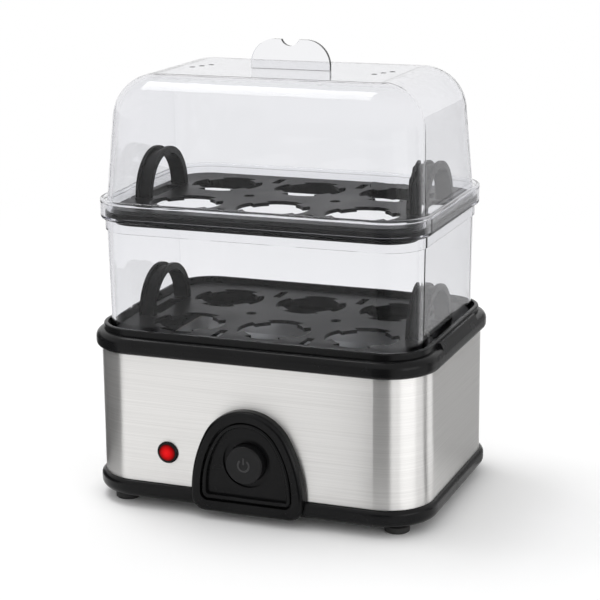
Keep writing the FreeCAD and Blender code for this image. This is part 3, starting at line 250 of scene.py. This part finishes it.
RING_RADIUS = 0.0031
RING_GAP = math.radians(38)
RING_STEPS = 36
LINE_HALF = 0.00042
LINE_SLOPE = 0.00016
LINE_RISE = 0.00028
LINE_SUNK = 0.0001
BAR_LOW = 0.0006
BAR_HIGH = 0.0042

button_low, button_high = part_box("power_button")
button_middle = (button_low + button_high) / 2


def raised_line(mesh, path):
    """A raised line with sloped sides along points on the button's face, each with its sideways direction."""
    section = (
        (-LINE_HALF - LINE_SLOPE, -LINE_SUNK),
        (-LINE_HALF, LINE_RISE),
        (LINE_HALF, LINE_RISE),
        (LINE_HALF + LINE_SLOPE, -LINE_SUNK),
    )
    loops = []
    for point, side in path:
        loop = []
        for half, rise in section:
            spot = point + side * half
            loop.append(mesh.verts.new((
                button_middle.x + spot.x, button_low.y - rise, button_middle.z + spot.y
            )))
        loops.append(loop)
    for before, after in zip(loops, loops[1:]):
        for corner in range(len(section)):
            following = (corner + 1) % len(section)
            mesh.faces.new((before[corner], before[following], after[following], after[corner]))
    mesh.faces.new(loops[0])
    mesh.faces.new(reversed(loops[-1]))


sign = bmesh.new()
turn = (math.tau - 2 * RING_GAP) / RING_STEPS
ring = []
for step in range(RING_STEPS + 1):
    angle = math.pi / 2 + RING_GAP + step * turn
    outward = Vector((math.cos(angle), math.sin(angle)))
    ring.append((outward * RING_RADIUS, outward))
raised_line(sign, ring)
raised_line(sign, [(Vector((0, height)), Vector((1, 0))) for height in (BAR_LOW, BAR_HIGH)])
bmesh.ops.recalc_face_normals(sign, faces=sign.faces)
sign_mesh = bpy.data.meshes.new("button_sign")
sign.to_mesh(sign_mesh)
sign.free()
button_sign = bpy.data.objects.new("button_sign", sign_mesh)
bpy.context.scene.collection.objects.link(button_sign)
sign_black = moulding(
    "sign_black", dark=(0.016, 0.016, 0.017), pale=(0.024, 0.024, 0.025), rough=(0.26, 0.34),
    grain=3000, patch=120, pit_depth=0.00001,
)
button_sign.data.materials.append(sign_black)
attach(button_sign, "button")

# Switch plunger and terminal block: natural nylon, milky and slightly waxy.
# Neither shows until the base is opened.
nylon = moulding(
    "natural_nylon", dark=(0.70, 0.68, 0.62), pale=(0.80, 0.79, 0.74), rough=(0.38, 0.52),
    grain=1600, patch=90, pit_depth=0.00002, Subsurface_Weight=0.1,
)
dress(nylon, "switch_plunger", "terminal_block")

# Indicator: a red domed lens with a small neon lamp against its back.
# The lamp's light is painted into the lens as a painted glow, in its colour and emission, brightest in the
# middle and darker towards the rim.
LENS_ROUGHNESS = 0.12
LENS_REFLECTION = 0.05
LENS_GLOW = 0.2
# Painted glow of the neon lamp: lens colour and emission from the middle (0) out to the rim (1).
GLOW = (
    (0.00, (0.72, 0.010, 0.012)),
    (0.40, (0.62, 0.004, 0.006)),
    (0.75, (0.34, 0.002, 0.003)),
    (1.00, (0.06, 0.001, 0.001)),
)
lens_low, lens_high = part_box("indicator_lens")
lens_middle = (lens_low + lens_high) / 2
lens_radius = (lens_high.x - lens_low.x) / 2
red_lens = bpy.data.materials.new("red_lens")
red_lens.use_nodes = True
tree = red_lens.node_tree
shader = tree.nodes["Principled BSDF"]
shader.inputs["Roughness"].default_value = LENS_ROUGHNESS
shader.inputs["Specular IOR Level"].default_value = LENS_REFLECTION
shader.inputs["Emission Strength"].default_value = LENS_GLOW
place = add_node(tree, "ShaderNodeTexCoord")
centred = add_node(tree, "ShaderNodeVectorMath", operation="SUBTRACT")
centred.inputs[1].default_value = lens_middle
flat = add_node(tree, "ShaderNodeVectorMath", operation="MULTIPLY")
flat.inputs[1].default_value = (1 / lens_radius, 0, 1 / lens_radius)
reach = add_node(tree, "ShaderNodeVectorMath", operation="LENGTH")
glow = add_node(tree, "ShaderNodeValToRGB")
stops = glow.color_ramp.elements
for stop, _ in GLOW[1:-1]:
    stops.new(stop)
for element, (stop, colour) in zip(stops, GLOW):
    element.position = stop
    element.color = (*colour, 1)
tree.links.new(place.outputs["Object"], centred.inputs[0])
tree.links.new(centred.outputs["Vector"], flat.inputs[0])
tree.links.new(flat.outputs["Vector"], reach.inputs[0])
tree.links.new(reach.outputs["Value"], glow.inputs["Fac"])
tree.links.new(glow.outputs["Color"], shader.inputs["Base Color"])
tree.links.new(glow.outputs["Color"], shader.inputs["Emission Color"])
dress(red_lens, "indicator_lens")
neon = moulding(
    "neon_lamp", dark=(0.55, 0.30, 0.20), pale=(0.75, 0.50, 0.38), rough=(0.06, 0.12),
    grain=900, patch=160, pit_depth=0.00001,
)
dress(neon, "indicator_lamp")

# Trays: black mouldings, duller than the rim, with tabbed seats and an arch handle at each end.
# Steam and water leave the floor slightly streaked.
tray_black = moulding(
    "tray_black", dark=(0.004, 0.004, 0.0043), pale=(0.007, 0.007, 0.0074), rough=(0.30, 0.42),
    grain=1300, patch=28, pit_depth=0.00002, Specular_IOR_Level=0.08,
)
dress(tray_black, "lower_tray", "upper_tray")

# Middle tier, lid and fin: clear polished plastic, each moulded in one shot; the fin is welded to the roof.
# The wall is about 2 mm, so it darkens and bends what is behind it only at its edges.
# Its faces mirror less than bare plastic does, so that the pieces inside stay dark in a white room.
CLEAR_INDEX = 1.57
CLEAR_DENSITY = 165.0
CLEAR_TINT = (0.78, 0.78, 0.81, 1)
CLEAR_MIRROR = (0.25, 0.25, 0.25, 1)
CLEAR_SHADOW = (0.97, 0.97, 0.975, 1)
clear = moulding(
    "clear_plastic", dark=(0.97, 0.975, 0.98), pale=(0.99, 0.99, 0.995), rough=(0.0, 0.02),
    grain=40, patch=14, pit_depth=0.00001,
    Transmission_Weight=1.0, IOR=CLEAR_INDEX, Specular_Tint=CLEAR_MIRROR,
)
tree = clear.node_tree
rays = add_node(tree, "ShaderNodeLightPath")
through = add_node(tree, "ShaderNodeBsdfTransparent", {"Color": CLEAR_SHADOW})
choose = add_node(tree, "ShaderNodeMixShader")
depth = add_node(tree, "ShaderNodeVolumeAbsorption", {"Color": CLEAR_TINT, "Density": CLEAR_DENSITY})
tree.links.new(rays.outputs["Is Shadow Ray"], choose.inputs["Fac"])
tree.links.new(tree.nodes["Principled BSDF"].outputs["BSDF"], choose.inputs[1])
tree.links.new(through.outputs["BSDF"], choose.inputs[2])
tree.links.new(choose.outputs["Shader"], tree.nodes["Material Output"].inputs["Surface"])
tree.links.new(depth.outputs["Volume"], tree.nodes["Material Output"].inputs["Volume"])
dress(clear, "middle_tier", "lid", "lid_handle")

# Collar bead: the rounded lip along the top of the tier's collar, moulded with it.
# It acts as a long lens, so it shows as one pale and one dark line all the way round.
BEAD_RADIUS = 0.0011
BEAD_SEAT = 0.98
BEAD_SIDES = 16
BEAD_TURN_STEPS = 14
COLLAR_CORNER = 0.0233
tier_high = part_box("middle_tier")[1]
bead_corner = COLLAR_CORNER - BEAD_RADIUS
bead_turn_x = tier_high.x - BEAD_RADIUS - bead_corner
bead_turn_y = tier_high.y - BEAD_RADIUS - bead_corner
bead_height = tier_high.z + BEAD_RADIUS * BEAD_SEAT
bead = bmesh.new()
loops = []
for corner, (side_x, side_y) in enumerate(((1, 1), (-1, 1), (-1, -1), (1, -1))):
    for step in range(BEAD_TURN_STEPS + 1):
        angle = (corner + step / BEAD_TURN_STEPS) * math.pi / 2
        outward = Vector((math.cos(angle), math.sin(angle), 0))
        middle = Vector((side_x * bead_turn_x, side_y * bead_turn_y, bead_height)) + outward * bead_corner
        loop = []
        for side in range(BEAD_SIDES):
            round_angle = math.tau * side / BEAD_SIDES
            rise = Vector((0, 0, math.sin(round_angle)))
            loop.append(bead.verts.new(middle + (outward * math.cos(round_angle) + rise) * BEAD_RADIUS))
        loops.append(loop)
for before, after in zip(loops, loops[1:] + loops[:1]):
    for side in range(BEAD_SIDES):
        following = (side + 1) % BEAD_SIDES
        face = bead.faces.new((before[side], after[side], after[following], before[following]))
        face.smooth = True
bmesh.ops.recalc_face_normals(bead, faces=bead.faces)
bead_mesh = bpy.data.meshes.new("collar_bead")
bead.to_mesh(bead_mesh)
bead.free()
collar_bead = bpy.data.objects.new("collar_bead", bead_mesh)
bpy.context.scene.collection.objects.link(collar_bead)
collar_bead.data.materials.append(clear)
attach(collar_bead, "middle_tier")

# Floor: a wide matt white sweep, which keeps the cooker's shadow near it.
# Further out it passes into plain white, for the camera and for what metal and clear plastic show of it.
FLOOR_HALF = 9.0
SWEEP_NEAR = 0.22
SWEEP_FAR = 0.85
floor_mesh = bpy.data.meshes.new("floor")
corners = [(x * FLOOR_HALF, y * FLOOR_HALF, 0) for x, y in ((-1, -1), (1, -1), (1, 1), (-1, 1))]
floor_mesh.from_pydata(corners, [], [(0, 1, 2, 3)])
floor = bpy.data.objects.new("floor", floor_mesh)
bpy.context.scene.collection.objects.link(floor)
sweep = moulding(
    "white_sweep", dark=(0.90, 0.90, 0.90), pale=(0.92, 0.92, 0.92), rough=(0.8, 0.9),
    grain=400, patch=3, pit_depth=0.00002, Specular_IOR_Level=0.0,
)


def seen_or_shown(tree):
    """One for rays from the camera, and for those that metal and clear plastic send on; nought for light."""
    rays = add_node(tree, "ShaderNodeLightPath")
    seen = add_node(tree, "ShaderNodeMath", operation="MAXIMUM")
    shown = add_node(tree, "ShaderNodeMath", operation="MAXIMUM")
    tree.links.new(rays.outputs["Is Camera Ray"], seen.inputs[0])
    tree.links.new(rays.outputs["Is Glossy Ray"], seen.inputs[1])
    tree.links.new(seen.outputs["Value"], shown.inputs[0])
    tree.links.new(rays.outputs["Is Transmission Ray"], shown.inputs[1])
    return shown.outputs["Value"]


tree = sweep.node_tree
place = add_node(tree, "ShaderNodeTexCoord")
reach = add_node(tree, "ShaderNodeVectorMath", operation="LENGTH")
fade = add_node(
    tree, "ShaderNodeMapRange", {"From Min": SWEEP_NEAR, "From Max": SWEEP_FAR},
    interpolation_type="SMOOTHSTEP",
)
share = add_node(tree, "ShaderNodeMath", operation="MULTIPLY")
plain_white = add_node(tree, "ShaderNodeEmission", {"Color": (1, 1, 1, 1), "Strength": 1.0})
choose = add_node(tree, "ShaderNodeMixShader")
tree.links.new(place.outputs["Object"], reach.inputs[0])
tree.links.new(reach.outputs["Value"], fade.inputs["Value"])
tree.links.new(fade.outputs["Result"], share.inputs[0])
tree.links.new(seen_or_shown(tree), share.inputs[1])
tree.links.new(share.outputs["Value"], choose.inputs["Fac"])
tree.links.new(tree.nodes["Principled BSDF"].outputs["BSDF"], choose.inputs[1])
tree.links.new(plain_white.outputs["Emission"], choose.inputs[2])
tree.links.new(choose.outputs["Shader"], tree.nodes["Material Output"].inputs["Surface"])
floor.data.materials.append(sweep)

# Cards: dark and grey sheets, each with a foot that lies on the floor, standing close round the cooker.
# They show only in reflections, where they give the steel its upright bands.
# Each is given by the point it bends round, its bearings from the front towards the right, and its tone.
CARD_NEAR = 0.06
CARD_FAR = 0.60
CARD_TOP = 0.24
CARD_LIFT = 0.0005
CARD_STEPS = 12
CARD_PALER = 1.1
CARD_FRONT = -0.048
CARDS = (
    ("right_card", (0.070, CARD_FRONT), (-18, 24), 0.08),
    ("stripe_card", (0.070, CARD_FRONT), (110, 121), 0.12),
    ("side_card", (0.085, 0.000), (142, 176), 0.36),
    ("left_card", (-0.070, CARD_FRONT), (-128, -48), 0.09),
)
card_section = ((CARD_NEAR, CARD_LIFT), (CARD_FAR, CARD_LIFT), (CARD_FAR, CARD_TOP))
row = len(card_section)
card_faces = [
    (row * step + side, row * step + side + row, row * step + side + row + 1, row * step + side + 1)
    for step in range(CARD_STEPS)
    for side in range(row - 1)
]
for name, (bend_x, bend_y), (turn_from, turn_to), tone in CARDS:
    points = []
    for step in range(CARD_STEPS + 1):
        angle = math.radians(turn_from + (turn_to - turn_from) * step / CARD_STEPS)
        for out_by, height in card_section:
            points.append((bend_x + out_by * math.sin(angle), bend_y - out_by * math.cos(angle), height))
    card_mesh = bpy.data.meshes.new(name)
    card_mesh.from_pydata(points, [], card_faces)
    card_mesh.materials.append(moulding(
        name, dark=(tone,) * 3, pale=(tone * CARD_PALER,) * 3, rough=(0.8, 0.9),
        grain=300, patch=5, pit_depth=0.00002, Specular_IOR_Level=0.1,
    ))
    card = bpy.data.objects.new(name, card_mesh)
    bpy.context.scene.collection.objects.link(card)
    card.visible_camera = False
    card.visible_diffuse = False
    card.visible_transmission = False
    card.visible_shadow = False

# Light: a white room at a plain level, with a soft box overhead and a low panel at the right.
# The camera, metal and clear plastic see the room as plain white.
# Neither lamp is seen directly or through the clear walls.
ROOM_LEVEL = 0.91
BOX_SIDE = 0.55
BOX_POWER = 6.0
BOX_PLACE = Vector((-0.42, 0.10, 1.30))
SIDE_WIDE = 0.60
SIDE_TALL = 0.30
SIDE_POWER = 0.95
SIDE_PLACE = Vector((0.86, -0.40, 0.16))
for name, stand, wide, tall, power in (
    ("soft_box", BOX_PLACE, BOX_SIDE, BOX_SIDE, BOX_POWER),
    ("side_panel", SIDE_PLACE, SIDE_WIDE, SIDE_TALL, SIDE_POWER),
):
    lamp_data = bpy.data.lights.new(name, "AREA")
    lamp_data.shape = "RECTANGLE"
    lamp_data.size = wide
    lamp_data.size_y = tall
    lamp_data.energy = power
    lamp = bpy.data.objects.new(name, lamp_data)
    lamp.location = stand
    lamp.rotation_mode = "QUATERNION"
    lamp.rotation_quaternion = stand.to_track_quat("Z", "Y")
    lamp.visible_camera = False
    lamp.visible_transmission = False
    bpy.context.scene.collection.objects.link(lamp)

world = bpy.data.worlds.new("studio")
world.use_nodes = True
bpy.context.scene.world = world
tree = world.node_tree
tree.nodes.clear()
room = add_node(tree, "ShaderNodeBackground", {"Color": (1, 1, 1, 1), "Strength": ROOM_LEVEL})
white = add_node(tree, "ShaderNodeBackground", {"Color": (1, 1, 1, 1), "Strength": 1.0})
choose = add_node(tree, "ShaderNodeMixShader")
out = add_node(tree, "ShaderNodeOutputWorld")
tree.links.new(seen_or_shown(tree), choose.inputs["Fac"])
tree.links.new(room.outputs["Background"], choose.inputs[1])
tree.links.new(white.outputs["Background"], choose.inputs[2])
tree.links.new(choose.outputs["Shader"], out.inputs["Surface"])

# Camera: a long lens a little above the lid, turned to the cooker's right and very slightly tilted.
# The picture is square, and the lens is given by its focal length in picture widths.
CAMERA_TURN = math.radians(21.25)
CAMERA_RISE = math.radians(14.40)
CAMERA_TILT = math.radians(-0.60)
CAMERA_DISTANCE = 1.020
CAMERA_AIM = Vector((0.0038, 0.0, 0.1052))
CAMERA_REACH = 50.0
FOCAL_WIDTHS = 3.0913
SENSOR_WIDTH = 36.0
camera_data = bpy.data.cameras.new("camera")
camera_data.sensor_width = SENSOR_WIDTH
camera_data.lens = FOCAL_WIDTHS * SENSOR_WIDTH
camera_data.clip_end = CAMERA_REACH
camera = bpy.data.objects.new("camera", camera_data)
look = Vector((
    -math.sin(CAMERA_TURN) * math.cos(CAMERA_RISE),
    math.cos(CAMERA_TURN) * math.cos(CAMERA_RISE),
    -math.sin(CAMERA_RISE),
))
level = Vector((math.cos(CAMERA_TURN), math.sin(CAMERA_TURN), 0))
across = Quaternion(-look, CAMERA_TILT) @ level
camera.matrix_world = Matrix((across, across.cross(look), -look)).transposed().to_4x4()
camera.location = CAMERA_AIM - look * CAMERA_DISTANCE
bpy.context.scene.collection.objects.link(camera)
bpy.context.scene.camera = camera
bpy.context.scene.view_settings.view_transform = "Standard"
